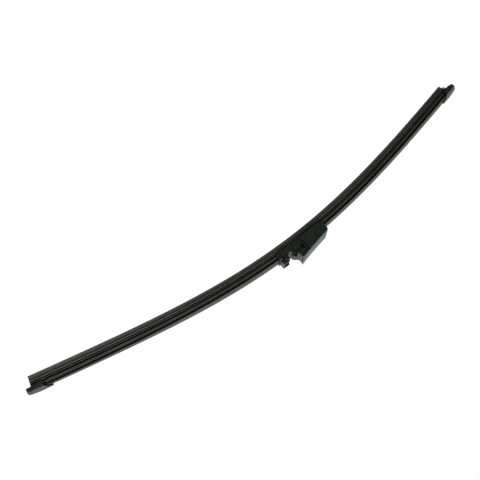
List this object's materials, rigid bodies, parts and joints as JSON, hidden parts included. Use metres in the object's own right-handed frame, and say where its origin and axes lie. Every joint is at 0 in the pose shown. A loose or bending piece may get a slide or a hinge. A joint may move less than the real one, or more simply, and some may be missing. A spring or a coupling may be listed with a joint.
{
  "type": "wiper blade",
  "caption": "Rear flat wiper blade: a bowed rubber strip on spring strips, with clip-on cover strips, end caps and a snap connector for the arm's cross pin.",
  "frame": {"origin": "axis of the seat for the arm's cross pin, in the middle of the connector", "axes": "+X along the blade, out of the connector's front; +Y along the pin; +Z away from the glass"},
  "size_m": [0.3971, 0.0146, 0.0498],
  "materials": {
    "wiping_rubber": "matt, coated wiping lip",
    "spring_steel": "dark coated",
    "cover_strip_rubber": "satin extruded",
    "end_cap_plastic": "fine-grained",
    "connector_plastic": "satin moulded",
    "cover_plastic": "fine-grained"
  },
  "bodies": {
    "root": {"wiper_rubber": "wiping_rubber", "spring_strip_front": "spring_steel", "spring_strip_back": "spring_steel", "cover_strip_left": "cover_strip_rubber", "cover_strip_right": "cover_strip_rubber", "end_cap_left": "end_cap_plastic", "end_cap_right": "end_cap_plastic", "connector_base": "connector_plastic", "pin_housing": "connector_plastic", "connector_cover": "cover_plastic"}
  },
  "joints": []
}
